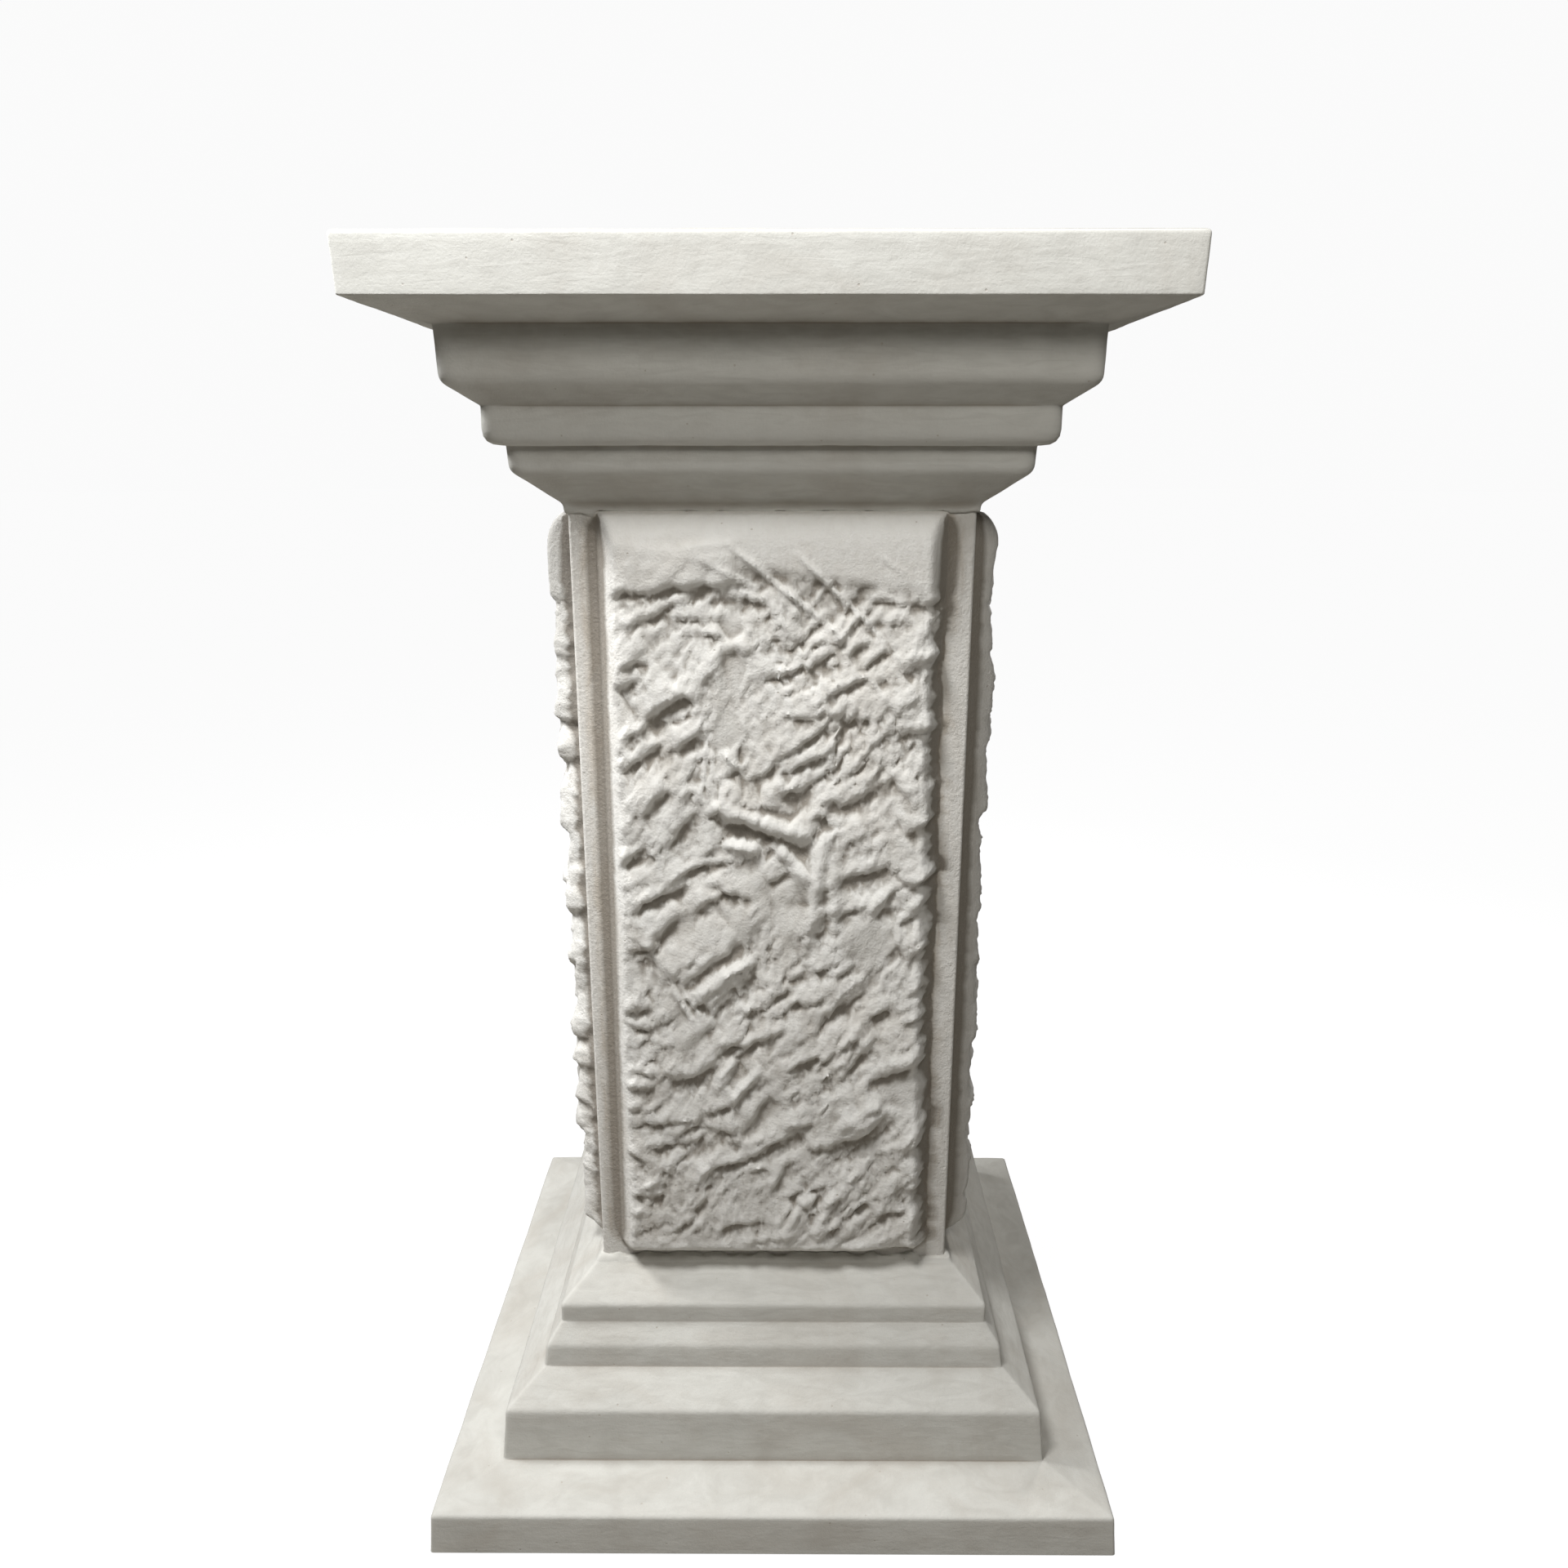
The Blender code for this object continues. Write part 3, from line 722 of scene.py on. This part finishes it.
def cast_stone(name, lime, stone, earth, silt_and_shade, brushing, tooth, foot_darkening=0):
    """Cast stone of white cement and fine sand, brushed over with limewash.

    Dull and finely gritty. The wash lies in streaks along the brushing, the stone shows grey through it,
    earth stains it in soft patches, its hollows are darkened by earth and painted shade, and a few air pits
    are left from the mould.
    The shaft is painted darker towards its foot by the share given, twice as much on its margins, and
    painted shade greys the top of the slab in soft patches.
    """
    material = bpy.data.materials.new(name)
    material.use_nodes = True
    tree = material.node_tree
    shader = tree.nodes["Principled BSDF"]
    place = add(tree, "ShaderNodeTexCoord").outputs["Object"]
    brushed = add(tree, "ShaderNodeMapping", {"Vector": place, "Scale": brushing}).outputs[0]
    streaks = add(tree, "ShaderNodeTexNoise", {
        "Vector": brushed, "Scale": 1, "Detail": 4, "Roughness": 0.55, "Distortion": 1.3})
    mottle = add(tree, "ShaderNodeTexNoise", {
        "Vector": place, "Scale": per_metre(28 * MM), "Detail": 6, "Roughness": 0.6, "Distortion": 0.5})
    stains = add(tree, "ShaderNodeTexNoise", {
        "Vector": place, "Scale": per_metre(75 * MM), "Detail": 5, "Roughness": 0.62, "Distortion": 0.8})
    grit = add(tree, "ShaderNodeTexNoise", {"Vector": place, "Scale": per_metre(1.5 * MM), "Detail": 2})
    pits = add(tree, "ShaderNodeTexVoronoi", {"Vector": place, "Scale": per_metre(14 * MM)})
    hollow = add(tree, "ShaderNodeAttribute", attribute_name="hollow").outputs["Fac"]

    margin = add(tree, "ShaderNodeAttribute", attribute_name="margin").outputs["Fac"]

    worn = add(tree, "ShaderNodeMapRange", {0: streaks.outputs[0], 1: 0.42, 2: 0.68, 3: 0, 4: 0.42})
    patchy = add(tree, "ShaderNodeMapRange", {0: mottle.outputs[0], 1: 0.42, 2: 0.68, 3: 0, 4: 0.28})
    stained = add(tree, "ShaderNodeMapRange", {0: stains.outputs[0], 1: 0.46, 2: 0.74, 3: 0, 4: 0.34})
    # The flat margins are darkened towards earth in streaks: partly rain stains, partly painted shade in the
    # recess beside the bosses.
    margin_stain_and_shade = add(tree, "ShaderNodeMapRange", {0: streaks.outputs[0], 1: 0.35, 2: 0.60, 3: 0.25, 4: 0.70})
    margin_stain_and_shade = add(tree, "ShaderNodeMath", {0: margin_stain_and_shade.outputs[0], 1: margin}, operation="MULTIPLY")
    # Hollows darkened: partly earth that settles there, partly painted shade that deepens the crevices of
    # the split stone.
    hollow_dirt_and_shade = add(tree, "ShaderNodeMapRange", {0: hollow, 1: 0.05, 2: 1.0, 3: 0, 4: 0.85})
    proud = add(tree, "ShaderNodeMapRange", {0: hollow, 1: -0.1, 2: -1.2, 3: 0, 4: 0.6})
    level = add(tree, "ShaderNodeSeparateXYZ", {0: place}).outputs["Z"]
    # Painted shade: the top of the slab is greyed in soft patches to tone down the strong light that falls
    # on it.
    top = add(tree, "ShaderNodeMath", {0: level, 1: TOP_Z - TOP_SKIN}, operation="GREATER_THAN")
    top_shade = add(tree, "ShaderNodeMapRange", {0: mottle.outputs[0], 1: 0.36, 2: 0.64, 3: 0.72, 4: 0.92})
    top_shade = add(tree, "ShaderNodeMath", {0: top_shade.outputs[0], 1: top.outputs[0]}, operation="MULTIPLY")
    # Painted darker towards the foot of the shaft, and twice as much on its margins.
    foot_share = add(tree, "ShaderNodeMath", {0: margin, 1: foot_darkening, 2: foot_darkening}, operation="MULTIPLY_ADD")
    darker_to_foot = add(tree, "ShaderNodeMapRange", {
        0: level, 1: FOOT_DARKENING_TOP, 2: FOOT_DARKENING_FULL, 3: 0, 4: foot_share.outputs[0]})
    speck = add(tree, "ShaderNodeMapRange", {0: grit.outputs[0], 1: 0.58, 2: 0.80, 3: 0, 4: 0.20})
    pit = add(tree, "ShaderNodeMapRange", {0: pits.outputs["Distance"], 1: 0.055, 2: 0.035, 3: 0, 4: 0.5})
    tone = blend_colour(tree, worn.outputs[0], colour(lime), colour(stone))
    tone = blend_colour(tree, patchy.outputs[0], tone, colour(stone))
    tone = blend_colour(tree, stained.outputs[0], tone, colour(earth))
    tone = blend_colour(tree, margin_stain_and_shade.outputs[0], tone, colour(earth))
    tone = blend_colour(tree, darker_to_foot.outputs[0], tone, colour(silt_and_shade))
    tone = blend_colour(tree, proud.outputs[0], tone, colour(lime))
    tone = blend_colour(tree, top_shade.outputs[0], tone, colour(TOP_SHADE))
    tone = blend_colour(tree, hollow_dirt_and_shade.outputs[0], tone, colour(silt_and_shade))
    tone = blend_colour(tree, speck.outputs[0], tone, colour(stone))
    tone = blend_colour(tree, pit.outputs[0], tone, colour(earth))
    tree.links.new(tone, shader.inputs["Base Color"])
    shader.inputs["Roughness"].default_value = 0.92
    shader.inputs["IOR"].default_value = 1.5
    shader.inputs["Specular IOR Level"].default_value = 0.25

    grain = add(tree, "ShaderNodeTexNoise", {
        "Vector": place, "Scale": per_metre(4.5 * MM), "Detail": 5, "Roughness": 0.7})
    furrow = add(tree, "ShaderNodeMath", {0: streaks.outputs[0], 1: 0.6}, operation="MULTIPLY")
    height = add(tree, "ShaderNodeMath", {
        0: grit.outputs[0], 1: 0.35, 2: grain.outputs[0]}, operation="MULTIPLY_ADD")
    height = add(tree, "ShaderNodeMath", {0: height.outputs[0], 1: furrow.outputs[0]}, operation="ADD")
    height = add(tree, "ShaderNodeMath", {0: height.outputs[0], 1: pit.outputs[0]}, operation="SUBTRACT")
    bump = add(tree, "ShaderNodeBump", {"Height": height.outputs[0], "Strength": 0.6, "Distance": tooth})
    tree.links.new(bump.outputs[0], shader.inputs["Normal"])
    return material


# Stage

# Soft disc lights round the column's upper half: azimuth from the front to the right, height angle, power
# and colour.
LIGHT_TARGET = Vector((0, 0, 0.60))
LIGHT_DISTANCE = 1.3
LIGHT_SIZE = 0.35
LIGHTS = {
    "key": (-29, 51, 16.8, (1, 1, 1)),
    "side": (-90, 40, 16.5, (1, 1, 1)),
    "fill": (12, 33, 4, (1, 0.97, 0.91)),
    "back": (145, 24, 7, (1, 0.98, 0.95)),
}
SKY_STRENGTH = 0.02
PAPER_WHITE = 0.96
FLOOR_RADIUS = 30


def pale_paper():
    """White backing paper that is lit to a seamless white and throws little light back under the column."""
    material = bpy.data.materials.new("pale_paper")
    material.use_nodes = True
    tree = material.node_tree
    seen = add(tree, "ShaderNodeLightPath").outputs["Is Camera Ray"]
    shader = tree.nodes["Principled BSDF"]
    shader.inputs["Base Color"].default_value = (0.12, 0.12, 0.12, 1)
    shader.inputs["Roughness"].default_value = 1
    shader.inputs["Specular IOR Level"].default_value = 0
    shader.inputs["Emission Color"].default_value = (1, 1, 1, 1)
    shader.inputs["Emission Strength"].default_value = PAPER_WHITE
    dull = add(tree, "ShaderNodeBsdfDiffuse", {"Color": (0.30, 0.28, 0.25, 1)})
    both = add(tree, "ShaderNodeMixShader", {0: seen, 1: dull.outputs[0], 2: shader.outputs[0]})
    tree.links.new(both.outputs[0], tree.nodes["Material Output"].inputs["Surface"])
    return material


def stage():
    """A plain pale floor, soft studio light and the camera."""
    bm = bmesh.new()
    bmesh.ops.create_circle(bm, cap_ends=True, segments=96, radius=FLOOR_RADIUS)
    mesh = bpy.data.meshes.new("floor")
    bm.to_mesh(mesh)
    bm.free()
    mesh.materials.append(pale_paper())
    floor = bpy.data.objects.new("floor", mesh)
    floor.location.z = CAD_BOX[0][2] - 0.3 * MM
    bpy.context.scene.collection.objects.link(floor)

    world = bpy.data.worlds.new("studio")
    bpy.context.scene.world = world
    world.use_nodes = True
    tree = world.node_tree
    seen = add(tree, "ShaderNodeLightPath").outputs["Is Camera Ray"]
    strength = add(tree, "ShaderNodeMapRange", {0: seen, 3: SKY_STRENGTH, 4: PAPER_WHITE})
    background = tree.nodes["Background"]
    background.inputs["Color"].default_value = (1, 1, 1, 1)
    tree.links.new(strength.outputs[0], background.inputs["Strength"])

    for name, (azimuth, elevation, power, tint) in LIGHTS.items():
        light = bpy.data.lights.new(name, "AREA")
        light.shape = "DISK"
        light.size = LIGHT_SIZE
        light.energy = power
        light.color = tint
        around = Matrix.Rotation(math.radians(azimuth), 3, "Z")
        away = around @ Matrix.Rotation(math.radians(-elevation), 3, "X") @ Vector((0, -LIGHT_DISTANCE, 0))
        lamp = bpy.data.objects.new(name, light)
        lamp.location = LIGHT_TARGET + away
        lamp.rotation_euler = away.to_track_quat("Z", "Y").to_euler()
        bpy.context.scene.collection.objects.link(lamp)

    camera = bpy.data.cameras.new("camera")
    camera.sensor_width = SENSOR_MM
    camera.lens = FOCAL_PIXELS / IMAGE_PIXELS * SENSOR_MM
    camera.clip_start = 0.01
    viewer = bpy.data.objects.new("camera", camera)
    viewer.location = CAMERA_PLACE
    viewer.rotation_euler = (math.pi / 2 + CAMERA_PITCH, 0, CAMERA_YAW)
    bpy.context.scene.collection.objects.link(viewer)
    bpy.context.scene.camera = viewer
    bpy.context.scene.view_settings.view_transform = "Standard"


def main():
    stage()
    level_brush = (per_metre(30 * MM), per_metre(30 * MM), per_metre(5 * MM))
    upright_brush = (per_metre(10 * MM), per_metre(10 * MM), per_metre(48 * MM))
    base_stone = cast_stone(
        "limewashed_cast_stone_base", "D3D2CC", "BAB8B1", "AFA598", "9A9185", level_brush, 0.5 * MM)
    shaft_stone = cast_stone(
        "split_cast_stone_shaft", "F0EFEB", "D8D5CE", "C4BAAC", "8A8277", upright_brush, 1.5 * MM, 0.25)
    capital_stone = cast_stone(
        "limewashed_cast_stone_capital", "E0E0DB", "C6C5BF", "B9B0A5", "A69D90", level_brush, 0.5 * MM)
    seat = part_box("base")[1][2]
    base = square_moulding(base_outline(), (0, seat))
    rag_bead(base, seat, 1)
    base = piece("stepped_base", base, base_stone, 38)
    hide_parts("base")
    shaft = piece("rock_faced_shaft", shaft_solid(), shaft_stone, 70)
    mark_margins(shaft.data)
    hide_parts("shaft")
    capital = square_moulding(capital_outline(), (CAPITAL_Z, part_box("capital")[1][2]))
    rag_bead(capital, CAPITAL_Z, -1)
    capital = piece("moulded_capital", capital, capital_stone, 38)
    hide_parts("capital")


main()
